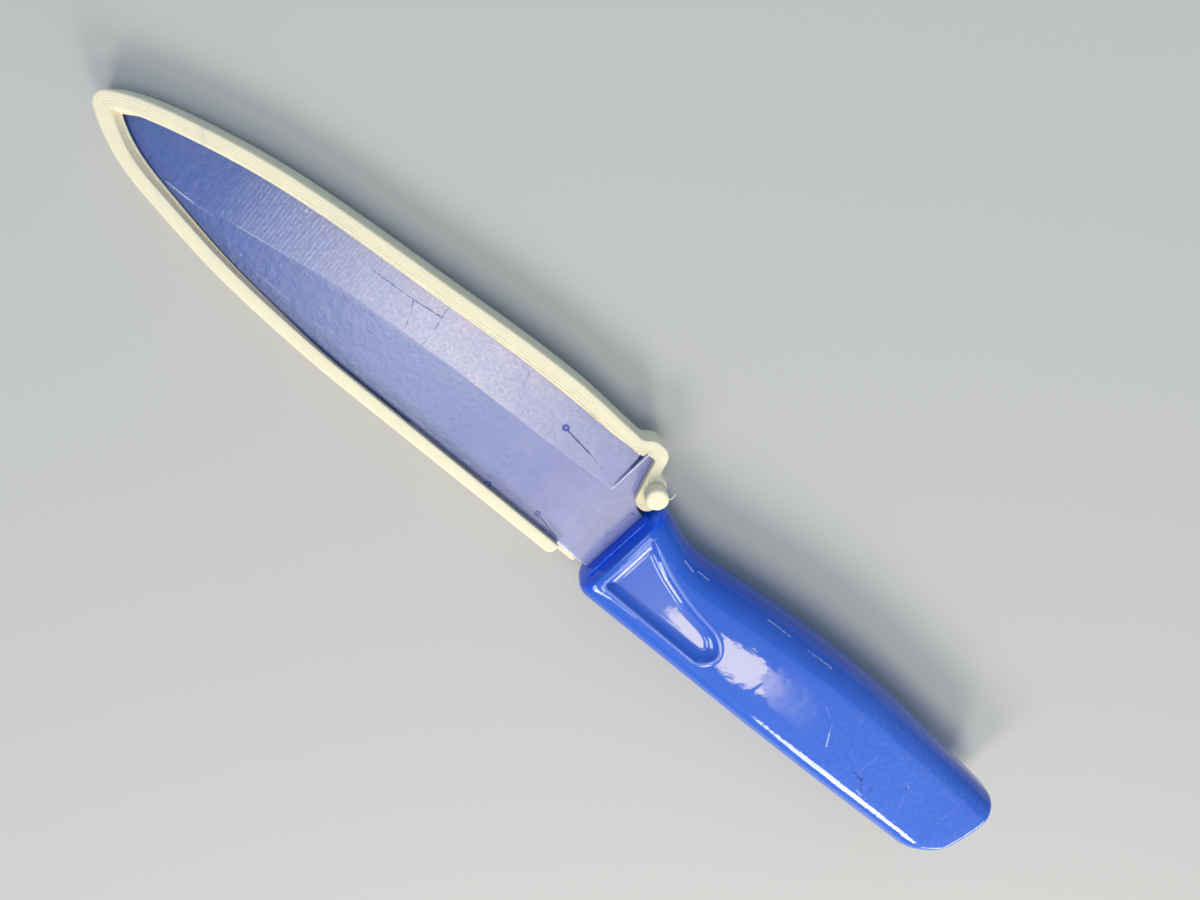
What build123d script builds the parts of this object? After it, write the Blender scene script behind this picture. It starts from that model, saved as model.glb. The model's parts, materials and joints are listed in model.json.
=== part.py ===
from build123d import *
import os
from math import atan2, cos, sin

os.makedirs("parts", exist_ok=True)

# A printed blade guard closed on the small kitchen knife that it is made for.
# All outlines are drawn in the knife's own plane: x from the point to the butt, y towards
# the cutting edge, z across the blade. The point of the blade is at its origin.

# Blade
blade_length = 99.2
spine_drop = 8.8
edge_rise = 13.1
blade_thickness = 1.4
edge_land = 0.2
grind_width = 8.7
curve_steps = 9
spine_curve_length = 47.0
edge_straight_length = 8.3
plunge_setback = 7.7
heel_setback = 5.9
choil_setback = 2.4
choil_radius = 3.6
neck_rise = 4.5
heel_radius = 0.4
tang_length = 62.0
tang_top = 2.6
tang_bottom = -6.4
tang_end_radius = 3.0
tang_clearance = 0.05
shoulder_depth = 3.0

# Guard
guard_height = 4.8
guard_wall = 1.6
blade_clearance = 0.25
slot_clearance = 0.2
edge_lip_at_point = 0.5
edge_lip_at_heel = 1.0
spine_lip = 0.35
spine_lip_root = 1.3
spine_lip_end = 0.1
window_nose_top = 0.9
window_nose_low = 1.9
spine_rail_setback = 7.0
spine_rail_corner = 1.2
ledge_setback = 1.8
ledge_width = 1.4
ledge_corner = 0.6
edge_rail_setback = 11.2
lip_setback = 8.4
knuckle_gap = 0.25
knuckle_margin = 0.12

# Heel hook and its post
hook_length = 11.0
hook_height = 10.3
hook_swell = 1.0
hook_lip = 0.45
hook_inner_radius = 0.2
post_radius = 1.9
post_height = 2.6
post_dome = 0.4
post_inset_x = 2.0
post_inset_y = 3.65

# Handle
handle_length = 95.6
handle_thickness = 14.0
handle_low = -12.6
handle_low_rise = 0.75
handle_swell = 21.7
handle_crown = 0.8
low_corner_radius = 3.2
high_corner_radius = 4.6
front_corner_radius = 2.6
front_point_radius = 1.2
butt_low_radius = 8.5
butt_high_radius = 3.0
butt_edge_radius = 2.7
front_edge_radius = 0.9
recess_length = 24.6
recess_height = 12.4
recess_depth = 1.3
recess_setback = 2.2
recess_low = -8.0
recess_wall = 1.2
collar_depth = 0.3
collar_half_height = 2.0
collar_rise = 0.8
outline_margin = 0.3
overrun = 2.0

# Places along the point's two curves, as shares of their lengths and heights
edge_shares = [(0.06, 0.194), (0.14, 0.358), (0.233, 0.509), (0.347, 0.634), (0.579, 0.805), (0.806, 0.955)]
spine_shares = [(0.106, 0.36), (0.27, 0.608), (0.5, 0.827), (0.75, 0.949)]
edge_start_share = (1, 0.72)
spine_start_share = (1, -0.82)
pivot_share = 0.19

# The handle's stations: along its length, upper side above the low side as a share of
# the swell, and half thickness as a share of half the full thickness
station_shares = [
    (0.0, 0.954, 0.79),
    (0.03, 0.947, 0.805),
    (0.06, 0.91, 0.82),
    (0.11, 0.855, 0.843),
    (0.18, 0.862, 0.875),
    (0.28, 0.915, 0.922),
    (0.4, 0.968, 0.975),
    (0.55, 1.0, 1.0),
    (0.72, 0.991, 0.97),
    (0.87, 0.959, 0.9),
    (1.0, 0.922, 0.82),
]
belly_share = 0.4
belly_half_share = 0.978
recess_face_share = 0.86

# Upper rim of the thumb recess, along its length and up its height, and its round end
recess_shares = [(0.0, 1.0), (0.22, 0.8), (0.45, 0.665), (0.67, 0.58), (0.9, 0.485)]
recess_end_share = (1.0, 0.23)
recess_low_share = 0.89
recess_start_share = (1, -0.52)

# Corners of the hook after its first: along its length, down from its top, and their
# radii as shares of its length
hook_shares = [
    (0.07, 0.097, 0.14),
    (0.2, 0.0, 0.16),
    (0.54, 0.0, 0.2),
    (0.664, 0.388, 0.07),
    (0.82, 0.388, 0.14),
    (1.0, 0.587, 0.16),
    (1.0, 1.0, 0.16),
    (0.69, 1.0, 0.17),
]

# Sizes that follow from the ones above
heel_x = blade_length - heel_setback
choil_x = blade_length - choil_setback
plunge_x = blade_length - plunge_setback
edge_curve_length = heel_x - edge_straight_length
spine_rail_end = blade_length - spine_rail_setback
ledge_end = blade_length - ledge_setback
edge_rail_end = blade_length - edge_rail_setback
lip_end = blade_length - lip_setback
slot_height = blade_thickness + 2 * slot_clearance
half_height = guard_height / 2
half_slot = slot_height / 2
grind_slope = (blade_thickness - edge_land) / 2 / grind_width
rail_offset = blade_clearance + guard_wall
rail_reach = blade_length + overrun
spine_outer = spine_drop + rail_offset
edge_outer = edge_rise + rail_offset
belly_x = blade_length + belly_share * handle_length
overall_length = blade_length + handle_length

# At rest the nose of the guard and the handle's taper up to its belly touch the table, so
# the knife's plane leans a little. The part's origin is under the middle of its box.
lean = atan2(belly_half_share * handle_thickness / 2 - half_height, belly_x + rail_offset)
nose_x = rail_offset * cos(lean) + half_height * sin(lean)
butt_x = overall_length * cos(lean)
hook_top = edge_rise + rail_offset + hook_swell
plane_origin = (
    (nose_x - butt_x) / 2,
    -(hook_top + handle_low) / 2,
    rail_offset * sin(lean) + half_height * cos(lean),
)
knife_plane = Plane(
    origin=plane_origin,
    x_dir=(cos(lean), 0, sin(lean)),
    z_dir=(-sin(lean), 0, cos(lean)),
)


def edge_points(inset_at_point=0.0, inset_at_heel=0.0):
    """Points of the cutting edge, drawn in by an inset that grows towards the heel."""
    points = []
    for along_share, up_share in edge_shares:
        inset = inset_at_point + (inset_at_heel - inset_at_point) * along_share
        points.append((along_share * edge_curve_length, up_share * edge_rise - inset))
    return points + [(edge_curve_length, edge_rise - inset_at_heel)]


def spine_points(inset_at_point=0.0, inset_at_end=0.0):
    """Points of the spine, drawn in by an inset that shrinks away from the point."""
    points = []
    for along_share, down_share in spine_shares:
        inset = inset_at_point + (inset_at_end - inset_at_point) * along_share
        points.append((along_share * spine_curve_length, inset - down_share * spine_drop))
    return points + [(spine_curve_length, inset_at_end - spine_drop)]


# The two long curves from the blade's point
with BuildLine(mode=Mode.PRIVATE) as edge_line:
    Spline((0, 0), *edge_points(), tangents=[edge_start_share, (1, 0)])
with BuildLine(mode=Mode.PRIVATE) as spine_line:
    Spline((0, 0), *spine_points(), tangents=[spine_start_share, (1, 0)])


def set_off(curve, depth):
    """Points at even steps along a curve, moved off to its left by depth."""
    points = []
    for step in range(curve_steps + 1):
        along = (curve.line % (step / curve_steps)).normalized()
        points.append(curve.line @ (step / curve_steps) + Vector(-along.Y, along.X, 0) * depth)
    return points


def draw_run(width):
    """The blade's run grown by a width, round at its point and open-ended at the far end."""
    upper = set_off(edge_line, width)
    lower = set_off(spine_line, -width)
    with BuildLine() as outline:
        Spline(*upper, tangents=[edge_start_share, (1, 0)])
        Polyline(
            upper[-1],
            (rail_reach, upper[-1].Y),
            (rail_reach, lower[-1].Y),
            lower[-1],
        )
        Spline(*lower, tangents=[spine_start_share, (1, 0)])
        ThreePointArc(lower[0], (-width, 0), upper[0])
    make_face(outline.edges())


def draw_window(nose, edge_lip_start, edge_lip_finish, spine_lip_start, spine_lip_finish):
    """The opening between the lips, with its own nose and the lips' widths."""
    upper = edge_points(edge_lip_start, edge_lip_finish)
    lower = spine_points(spine_lip_start, spine_lip_finish)
    with BuildLine() as outline:
        Spline((nose, 0), *upper, tangents=[edge_start_share, (1, 0)])
        Polyline(
            upper[-1],
            (rail_reach, upper[-1][1]),
            (rail_reach, lower[-1][1]),
            lower[-1],
        )
        Spline((nose, 0), *lower, tangents=[spine_start_share, (1, 0)])
    make_face(outline.edges())


def draw_blade_body():
    """The blade's whole face: point, edge, heel, choil and the neck in the handle."""
    neck_x = blade_length + shoulder_depth
    with BuildLine() as outline:
        Spline((0, 0), *edge_points(), tangents=[edge_start_share, (1, 0)])
        Polyline(
            (edge_curve_length, edge_rise),
            (heel_x, edge_rise),
            (choil_x, neck_rise),
            (neck_x, neck_rise),
            (neck_x, -spine_drop),
            (spine_curve_length, -spine_drop),
        )
        Spline((0, 0), *spine_points(), tangents=[spine_start_share, (1, 0)])
    make_face(outline.edges())
    fillet(vertices().sort_by_distance((heel_x, edge_rise, 0))[0], radius=heel_radius)
    fillet(vertices().sort_by_distance((choil_x, neck_rise, 0))[0], radius=choil_radius)


def draw_grind(depth):
    """All that lies outside a line set in from the cutting edge by depth."""
    points = set_off(edge_line, -depth)
    start = (edge_line.line % 0).normalized()
    run_in = points[0] - start * overrun
    with BuildLine() as outline:
        Line(run_in, points[0])
        Spline(*points, tangents=[start, (1, 0)])
        Polyline(
            points[-1],
            (plunge_x, points[-1].Y),
            (plunge_x, edge_rise + grind_width),
            (-grind_width, edge_rise + grind_width),
            (-grind_width, run_in.Y),
            run_in,
        )
    make_face(outline.edges())


def draw_recess(inset):
    """Outline of the thumb recess, drawn in by an inset from its rim."""
    front = blade_length + recess_setback
    upper = []
    for along_share, up_share in recess_shares:
        upper.append((front + along_share * recess_length, recess_low + up_share * recess_height - inset))
    upper[0] = (front + inset, upper[0][1] - inset)
    end_x, end_y = [share * size for share, size in zip(recess_end_share, (recess_length, recess_height))]
    end_point = (front + end_x - inset, recess_low + end_y)
    low_point = (front + recess_low_share * recess_length, recess_low + inset)
    with BuildLine() as outline:
        Spline(*upper, end_point, low_point, tangents=[recess_start_share, (-1, 0)])
        Polyline(
            low_point,
            (front + inset, recess_low + inset),
            upper[0],
        )
    make_face(outline.edges())


def hook_outline():
    """Corners of the heel hook and their radii, round from the edge rail's outer side."""
    corners = [
        ((edge_rail_end, edge_outer), 0),
    ]
    for along_share, down_share, round_share in hook_shares:
        place = (edge_rail_end + along_share * hook_length, hook_top - down_share * hook_height)
        corners.append((place, round_share * hook_length))
    corners.append(((heel_x - hook_lip, edge_rise + blade_clearance), hook_inner_radius))
    corners.append(((lip_end, edge_rise + blade_clearance), 0))
    corners.append(((lip_end, edge_rise - edge_lip_at_heel), 0))
    corners.append(((edge_rail_end, edge_rise - edge_lip_at_heel), 0))
    return corners


# The edge rail bends near the nose. Its turning point lies in the middle of the channel's
# width there, where the rail leaves the fixed side.
pivot_edge = edge_line.line @ pivot_share
pivot_along = (edge_line.line % pivot_share).normalized()
pivot_across = Vector(-pivot_along.Y, pivot_along.X, 0)
channel_width = rail_offset + edge_lip_at_point
pivot = pivot_edge + pivot_across * (rail_offset - channel_width / 2)
knuckle_radius = channel_width / 2 + knuckle_margin

# The whole channel round the blade: the blade's run grown by wall and clearance, less the
# slot that the blade slides in and less the window between the lips, whose faces lean
with BuildPart() as channel:
    with BuildSketch(knife_plane.offset(-half_height)):
        draw_run(rail_offset)
    extrude(amount=guard_height)
    with BuildSketch(knife_plane.offset(-half_slot)):
        draw_run(blade_clearance)
    extrude(amount=slot_height, mode=Mode.SUBTRACT)
    for side in (-1, 1):
        with BuildSketch(knife_plane.offset(side * half_slot)):
            draw_window(window_nose_low, edge_lip_at_point, edge_lip_at_heel, spine_lip_root, spine_lip_end)
        with BuildSketch(knife_plane.offset(side * half_height)):
            draw_window(window_nose_top, edge_lip_at_point, edge_lip_at_heel, spine_lip, spine_lip)
        loft(ruled=True, mode=Mode.SUBTRACT)

# Fixed side of the guard: nose, spine channel, and the lower ledge that runs on under the
# blade past the end of the channel
with BuildPart(mode=Mode.PRIVATE) as fixed_side:
    with BuildSketch(knife_plane.offset(-half_height)):
        with BuildLine():
            Polyline(
                pivot + pivot_across * edge_rise,
                pivot - pivot_across * edge_rise / 2,
                (spine_rail_end, 0),
                (spine_rail_end, -spine_outer),
                (-edge_rise, -spine_outer),
                (-edge_rise, edge_outer),
                close=True,
            )
        make_face()
        fillet(
            vertices().sort_by_distance((spine_rail_end, -spine_outer, 0))[0],
            radius=spine_rail_corner,
        )
    extrude(amount=guard_height)
    with BuildSketch(knife_plane.offset(-half_height)):
        with BuildLine():
            Polyline(
                (spine_curve_length, 0),
                (ledge_end, 0),
                (ledge_end, -spine_drop - ledge_width),
                (spine_curve_length, -spine_drop - ledge_width),
                close=True,
            )
        make_face()
        fillet(
            vertices().sort_by_distance((ledge_end, -spine_drop - ledge_width, 0))[0],
            radius=ledge_corner,
        )
    extrude(amount=half_height - half_slot)
    with BuildSketch(knife_plane.offset(-half_height)):
        with Locations(pivot):
            Circle(knuckle_radius + knuckle_gap)
    extrude(amount=guard_height, mode=Mode.SUBTRACT)

with BuildPart() as spine_rail:
    add(channel.part)
    add(fixed_side.part, mode=Mode.INTERSECT)

# Springy side of the guard, with a round knuckle at its root
with BuildPart() as edge_rail:
    add(channel.part)
    with BuildSketch(knife_plane.offset(-half_height)):
        with BuildLine():
            Polyline(
                pivot + pivot_across * edge_rise,
                pivot - pivot_across * edge_rise / 2,
                (edge_rail_end, 0),
                (edge_rail_end, edge_outer),
                (edge_rail_end, edge_outer + edge_rise),
                close=True,
            )
        make_face()
        with Locations(pivot):
            Circle(knuckle_radius)
    extrude(amount=guard_height, mode=Mode.INTERSECT)

# Swelling, neck and pad that snap behind the heel
with BuildPart() as heel_hook:
    with BuildSketch(knife_plane.offset(-half_height)):
        corners = hook_outline()
        with BuildLine():
            Polyline([place for place, radius in corners], close=True)
        make_face()
        for place, radius in corners:
            if radius > 0:
                fillet(vertices().sort_by_distance((*place, 0))[0], radius=radius)
    extrude(amount=guard_height)
    with BuildSketch(knife_plane.offset(-half_slot)):
        draw_blade_body()
        offset(amount=blade_clearance)
    extrude(amount=slot_height, mode=Mode.SUBTRACT)

# Round post on the pad, pushed sideways to free the heel
with BuildPart() as release_post:
    post_x = edge_rail_end + hook_length - post_inset_x
    post_y = hook_top - hook_height + post_inset_y
    with BuildSketch(knife_plane.offset(half_height)):
        with Locations((post_x, post_y)):
            Circle(post_radius)
    extrude(amount=post_height)
    fillet(
        release_post.edges().filter_by(GeomType.CIRCLE).sort_by_distance(
            knife_plane.from_local_coords((post_x, post_y, half_height + post_height))
        )[0],
        radius=post_dome,
    )

# Blade with its ground bevels, full thickness heel and tang
with BuildPart() as blade:
    with BuildSketch(knife_plane.offset(-blade_thickness / 2)):
        draw_blade_body()
    extrude(amount=blade_thickness)
    with BuildSketch(knife_plane.offset(-blade_thickness / 2)):
        with BuildLine():
            Polyline(
                (blade_length, tang_top),
                (blade_length + tang_length, tang_top),
                (blade_length + tang_length, tang_bottom),
                (blade_length, tang_bottom),
                close=True,
            )
        make_face()
        fillet(vertices().group_by(Axis.X)[-1], radius=tang_end_radius)
    extrude(amount=blade_thickness)
    for side in (-1, 1):
        with BuildSketch(knife_plane.offset(side * (edge_land / 2 - grind_slope * overrun))):
            draw_grind(-overrun)
        with BuildSketch(knife_plane.offset(side * (blade_thickness / 2 + grind_slope * overrun))):
            draw_grind(grind_width + overrun)
        loft(ruled=True, mode=Mode.SUBTRACT)

# Moulded handle: sections along its length, rounded in plan at its ends, with a raised
# collar round the blade, the tang's slot and a thumb recess in each face
with BuildPart() as handle:
    for along_share, up_share, half_share in station_shares:
        station_x = blade_length + along_share * handle_length
        low = handle_low + along_share * handle_low_rise
        high = handle_low + up_share * handle_swell
        half = half_share * handle_thickness / 2
        rim = half - handle_crown
        middle = (low + high) / 2
        station = Plane(
            origin=knife_plane.from_local_coords((station_x, 0, 0)),
            x_dir=knife_plane.y_dir,
            z_dir=knife_plane.x_dir,
        )
        with BuildSketch(station):
            with BuildLine():
                Line((low, -rim), (low, rim))
                ThreePointArc((low, rim), (middle, half), (high, rim))
                Line((high, rim), (high, -rim))
                ThreePointArc((high, -rim), (middle, -half), (low, -rim))
            make_face()
            fillet(vertices().group_by(Axis.X)[0], radius=low_corner_radius)
            fillet(vertices().group_by(Axis.X)[-1], radius=high_corner_radius)
    loft()
    front_high = handle_low + station_shares[0][1] * handle_swell + outline_margin
    butt_high = handle_low + station_shares[-1][1] * handle_swell + outline_margin
    outline_low = handle_low - outline_margin
    with BuildSketch(knife_plane.offset(-handle_thickness)):
        with BuildLine():
            FilletPolyline(
                (blade_length, outline_low),
                (overall_length, outline_low + handle_low_rise),
                (overall_length, butt_high),
                (belly_x, butt_high + handle_swell),
                (belly_x, front_high + handle_swell),
                (blade_length + front_corner_radius, front_high + handle_swell),
                (blade_length + front_corner_radius, front_high),
                (blade_length, front_high),
                radius=[front_corner_radius, butt_low_radius, butt_high_radius, 0, 0, 0, 0, front_point_radius],
                close=True,
            )
        make_face()
    extrude(amount=2 * handle_thickness, mode=Mode.INTERSECT)
    front_plane = Plane(
        origin=knife_plane.from_local_coords((blade_length, 0, 0)),
        x_dir=knife_plane.y_dir,
        z_dir=knife_plane.x_dir,
    )
    front_face = handle.faces().sort_by_distance(front_plane.origin)[0]
    fillet(front_face.edges(), radius=front_edge_radius)
    butt_middle = knife_plane.from_local_coords((overall_length, (handle_low + butt_high) / 2, 0))
    butt_face = handle.faces().sort_by_distance(butt_middle)[0]
    fillet(butt_face.edges(), radius=butt_edge_radius)
    with BuildSketch(front_plane):
        Rectangle(handle_length, handle_length)
        with Locations(((neck_rise - spine_drop) / 2, 0)):
            Rectangle(
                neck_rise + spine_drop + 2 * collar_rise,
                2 * collar_half_height,
                mode=Mode.SUBTRACT,
            )
    extrude(amount=collar_depth, mode=Mode.SUBTRACT)
    with BuildSketch(knife_plane.offset(-blade_thickness / 2 - tang_clearance)):
        with BuildLine():
            Polyline(
                (blade_length - overrun, neck_rise + tang_clearance),
                (blade_length + shoulder_depth, neck_rise + tang_clearance),
                (blade_length + shoulder_depth, tang_top + tang_clearance),
                (blade_length + tang_length + tang_clearance, tang_top + tang_clearance),
                (blade_length + tang_length + tang_clearance, tang_bottom - tang_clearance),
                (blade_length + shoulder_depth, tang_bottom - tang_clearance),
                (blade_length + shoulder_depth, -spine_drop - tang_clearance),
                (blade_length - overrun, -spine_drop - tang_clearance),
                close=True,
            )
        make_face()
    extrude(amount=blade_thickness + 2 * tang_clearance, mode=Mode.SUBTRACT)
    recess_floor = recess_face_share * handle_thickness / 2 - recess_depth
    for side in (-1, 1):
        with BuildSketch(knife_plane.offset(side * recess_floor)):
            draw_recess(recess_wall)
        with BuildSketch(knife_plane.offset(side * (recess_floor + 2 * recess_depth))):
            draw_recess(-recess_wall)
        loft(ruled=True, mode=Mode.SUBTRACT)

spine_rail.part.label = "spine_rail"
export_step(spine_rail.part, "parts/spine_rail.step")
edge_rail.part.label = "edge_rail"
export_step(edge_rail.part, "parts/edge_rail.step")
heel_hook.part.label = "heel_hook"
export_step(heel_hook.part, "parts/heel_hook.step")
release_post.part.label = "release_post"
export_step(release_post.part, "parts/release_post.step")
blade.part.label = "blade"
export_step(blade.part, "parts/blade.step")
handle.part.label = "handle"
export_step(handle.part, "parts/handle.step")
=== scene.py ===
import json
from functools import reduce
from math import atan2, cos, pi, radians, sin

import bmesh
import bpy
import numpy as np
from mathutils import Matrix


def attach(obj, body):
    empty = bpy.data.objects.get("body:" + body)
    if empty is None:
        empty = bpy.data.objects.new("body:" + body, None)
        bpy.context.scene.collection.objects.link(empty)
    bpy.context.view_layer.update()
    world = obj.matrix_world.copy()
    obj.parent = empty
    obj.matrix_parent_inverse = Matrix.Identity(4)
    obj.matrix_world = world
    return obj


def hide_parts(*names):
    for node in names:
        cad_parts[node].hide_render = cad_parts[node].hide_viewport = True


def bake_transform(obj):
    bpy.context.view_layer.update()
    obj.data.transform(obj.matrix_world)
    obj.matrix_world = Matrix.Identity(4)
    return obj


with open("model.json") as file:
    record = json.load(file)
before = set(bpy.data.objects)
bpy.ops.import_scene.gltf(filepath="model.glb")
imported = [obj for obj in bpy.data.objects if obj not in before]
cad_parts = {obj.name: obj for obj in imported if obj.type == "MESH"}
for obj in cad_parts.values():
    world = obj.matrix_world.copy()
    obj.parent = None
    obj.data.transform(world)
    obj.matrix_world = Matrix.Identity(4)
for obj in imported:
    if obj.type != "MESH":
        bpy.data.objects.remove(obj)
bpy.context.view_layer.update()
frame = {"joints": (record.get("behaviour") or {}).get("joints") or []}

bl_info = {
    "name": "Knife Blade Guard",
    "version": (1, 0, 0),
    "blender": (4, 5, 0),
    "location": "View3D > Sidebar > Blade Guard",
    "description": "Builds a printed blade guard closed on its small kitchen knife",
    "category": "Add Mesh",
}

# Shapes are worked out in millimetres in the knife's own plane: x from the blade's point to
# the butt, y towards the cutting edge, z across the blade. settle() puts them in the frame.
MM = 0.001
JOINTS = {joint["name"]: joint for joint in frame["joints"]}
DRAW_AXIS = JOINTS["knife_draw"]["axis"]
LEAN = atan2(DRAW_AXIS[2], DRAW_AXIS[0])
BLADE_POINT = np.array([-96.389, -1.675, 2.4577])

# Camera, fitted to the grid that the object lies on
CAMERA_PLACE = (-60.316, 38.043, 129.249)
CAMERA_TURN = (-24.5589, -1.5486, 42.5369)
CAMERA_LENS = 25.304
CAMERA_SHIFT = 0.0612

# The blade's two long curves from its point, as shares of their lengths and heights
EDGE_SHARES = [
    (0.06, 0.194),
    (0.14, 0.358),
    (0.233, 0.509),
    (0.347, 0.634),
    (0.579, 0.805),
    (0.806, 0.955),
]
SPINE_SHARES = [(0.106, 0.36), (0.27, 0.608), (0.5, 0.827), (0.75, 0.949)]
EDGE_START = (1, 0.72)
SPINE_START = (1, -0.82)

# How far the heel and the hook's start lie back from the blade's end, in millimetres
HEEL_BACK, HOOK_BACK = 5.9, 11.2
# The straight last part of the cutting edge, and where the spine turns straight
EDGE_STRAIGHT, SPINE_REACH = 8.3, 47.0
# In plan, in millimetres: the slot's gap round the blade, how far the lips' upper and lower
# rims reach over the blade along its spine and its edge, and where they start at the nose
SLOT_GAP = 0.25
SPINE_LIPS, EDGE_LIPS, NOSE_LIPS = (0.35, 0.1), (0.55, 1.0), (0.9, 1.9)
# How many points the guard's long curves and its hook have
CURVE_POINTS, HOOK_POINTS = 260, 220
# The hook's rise above the rail, its length and its height
HOOK_RISE, HOOK_LENGTH, HOOK_HEIGHT = 1.0, 11.0, 10.3
# How far the blade's neck reaches into the handle, and the tang's length and limits there
NECK_REACH, TANG_REACH, TANG_HIGH, TANG_LOW = 3.0, 59.0, 2.6, -6.4
# The map's distance in from the recess, where a surface is well outside it
OUTSIDE = -9.0

# The heel hook's outer corners: along, down and rounding as shares of its length and height
HOOK_SHARES = [
    (0.07, 0.097, 0.14),
    (0.2, 0.0, 0.16),
    (0.54, 0.0, 0.2),
    (0.664, 0.388, 0.07),
    (0.82, 0.388, 0.14),
    (1.0, 0.587, 0.16),
    (1.0, 1.0, 0.16),
]

# The handle's stations: along it, its upper side as a share of its swell, and its half
# thickness as a share of half the full thickness
STATIONS = [
    (0.0, 0.954, 0.79),
    (0.03, 0.947, 0.805),
    (0.06, 0.91, 0.82),
    (0.11, 0.855, 0.843),
    (0.18, 0.862, 0.875),
    (0.28, 0.915, 0.922),
    (0.4, 0.968, 0.975),
    (0.55, 1.0, 1.0),
    (0.72, 0.991, 0.97),
    (0.87, 0.959, 0.9),
    (1.0, 0.922, 0.82),
]
RECESS_SHARES = [(0.0, 1.0), (0.22, 0.8), (0.45, 0.665), (0.67, 0.58), (0.9, 0.485)]

# Marks in the blade's coating, and painted highlights and painted shade on its edges: start, end, half
# width, and how much paler (or darker) they are than the coating, in millimetres of the knife's plane
SCRATCHES_AND_PAINTED_LIGHT = [
    ((11.2, -3.62), (15.6, -3.45), 0.12, 0.34),
    ((12.4, -3.62), (15.0, -3.5), 0.06, 0.3),
    ((15.6, -3.5), (18.4, -3.1), 0.08, 0.12),
    ((14.0, -3.1), (14.7, -2.6), 0.06, 0.16),
    ((22.0, -1.92), (26.4, -1.12), 0.06, 0.42),
    ((26.4, -1.12), (30.4, -0.46), 0.05, 0.3),
    ((28.3, -5.6), (34.0, -5.65), 0.12, 0.12),
    ((28.1, 6.4), (28.25, 6.4), 0.16, 0.4),
    ((24.9, -5.0), (24.9, -4.9), 0.15, 0.28),
    ((40.4, 6.2), (47.5, 6.85), 0.06, -0.8),
    ((47.5, 6.85), (52.8, 7.7), 0.07, -0.9),
    ((47.9, 6.7), (48.7, 5.2), 0.07, -0.7),
    ((48.7, 5.2), (49.6, 2.7), 0.06, -0.5),
    ((52.5, 9.1), (53.1, 5.6), 0.07, -0.6),
    ((53.3, 3.5), (53.1, 1.6), 0.08, -0.25),
    ((68.3, 10.2), (69.4, 7.8), 0.07, -0.35),
    ((79.6, 7.2), (84.7, 6.72), 0.13, -0.95),
    ((84.7, 6.72), (88.4, 6.2), 0.07, -0.5),
    # painted shade along the end of the ground band's line
    ((84.7, 4.02), (90.2, 4.1), 0.08, -0.4),
    ((84.2, 1.2), (84.2, 1.3), 0.12, -0.2),
    ((86.6, -7.0), (91.6, -8.2), 0.08, -0.75),
    ((86.8, -6.85), (89.6, -7.4), 0.06, 0.45),
    ((97.5, 3.6), (97.9, 3.8), 0.14, -0.8),
    ((97.6, -0.6), (97.65, -0.6), 0.13, -0.7),
    ((96.3, -1.1), (98.4, -3.4), 0.05, -0.35),
    # painted shade on the plunge's face
    ((91.35, 12.8), (91.5, 11.6), 0.36, -0.95),
    ((91.5, 11.6), (91.65, 9.6), 0.24, -0.95),
    ((91.65, 9.6), (91.8, 5.3), 0.12, -0.9),
    # painted highlight along the plunge's edge
    ((92.05, 12.95), (91.9, 4.7), 0.07, 0.95),
    # painted highlights along the spine's edge
    ((60.0, -8.58), (92.0, -8.58), 0.07, 0.9),
    ((92.0, -8.64), (98.0, -8.7), 0.05, 0.7),
]

# Small rings where the coating is chipped: middle, radius, half width and how dark
CHIPS = [
    ((78.9, 7.35), 0.4, 0.26, 0.95),
    ((85.9, -6.9), 0.35, 0.16, 0.8),
    ((76.2, -8.45), 0.45, 0.2, 0.95),
]

# Scuffs on the handle's upper face, in the same plane, and painted highlights among them
SCUFFS_AND_HIGHLIGHTS = [
    ((151.4, -0.3), (152.6, -2.0), 0.09, 0.35),
    ((152.6, -2.0), (154.5, -4.2), 0.12, 0.6),
    ((151.0, -0.5), (152.1, -1.2), 0.12, -0.4),
    ((163.2, -4.6), (165.8, -5.1), 0.3, -0.5),
    ((165.5, -4.9), (167.7, -6.6), 0.24, -0.55),
    ((167.1, -7.2), (168.9, -7.5), 0.12, 0.4),
    ((168.4, -4.6), (169.3, -6.0), 0.34, -0.3),
    ((172.5, 0.1), (174.0, -0.9), 0.14, -0.5),
    ((172.6, 0.3), (174.2, -0.6), 0.06, 0.35),
    ((163.4, 0.7), (163.6, -3.9), 0.06, 0.18),
    ((185.1, 3.1), (185.3, -1.3), 0.06, 0.14),
    ((137.1, 1.4), (140.1, -1.0), 0.05, 0.16),
    ((137.8, 0.6), (140.8, 0.0), 0.05, 0.12),
    ((147.3, 1.6), (149.7, 0.6), 0.06, 0.16),
    ((154.2, 4.3), (155.2, 3.7), 0.06, 0.16),
    ((175.2, -2.4), (177.0, -5.0), 0.05, 0.18),
    ((158.4, -1.6), (161.2, -3.0), 0.05, 0.14),
    # painted highlights on the upper side's rounding
    ((108.6, 4.5), (111.1, 4.0), 0.1, 0.46),
    ((111.9, 4.5), (114.4, 4.55), 0.08, 0.46),
    ((127.6, 6.1), (133.0, 6.5), 0.08, 0.36),
    ((137.3, 6.7), (143.1, 7.1), 0.09, 0.4),
    # painted highlights on the thumb recess's walls and rims
    ((102.75, 2.3), (102.75, -6.2), 0.24, 0.8),
    ((105.6, 1.6), (108.6, 0.1), 0.25, 0.8),
    ((108.6, 0.1), (113.6, -1.25), 0.2, 0.7),
    ((101.4, -9.3), (104.2, -8.75), 0.2, 0.7),
    ((104.2, -8.75), (110.0, -8.5), 0.08, 0.46),
]

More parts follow.
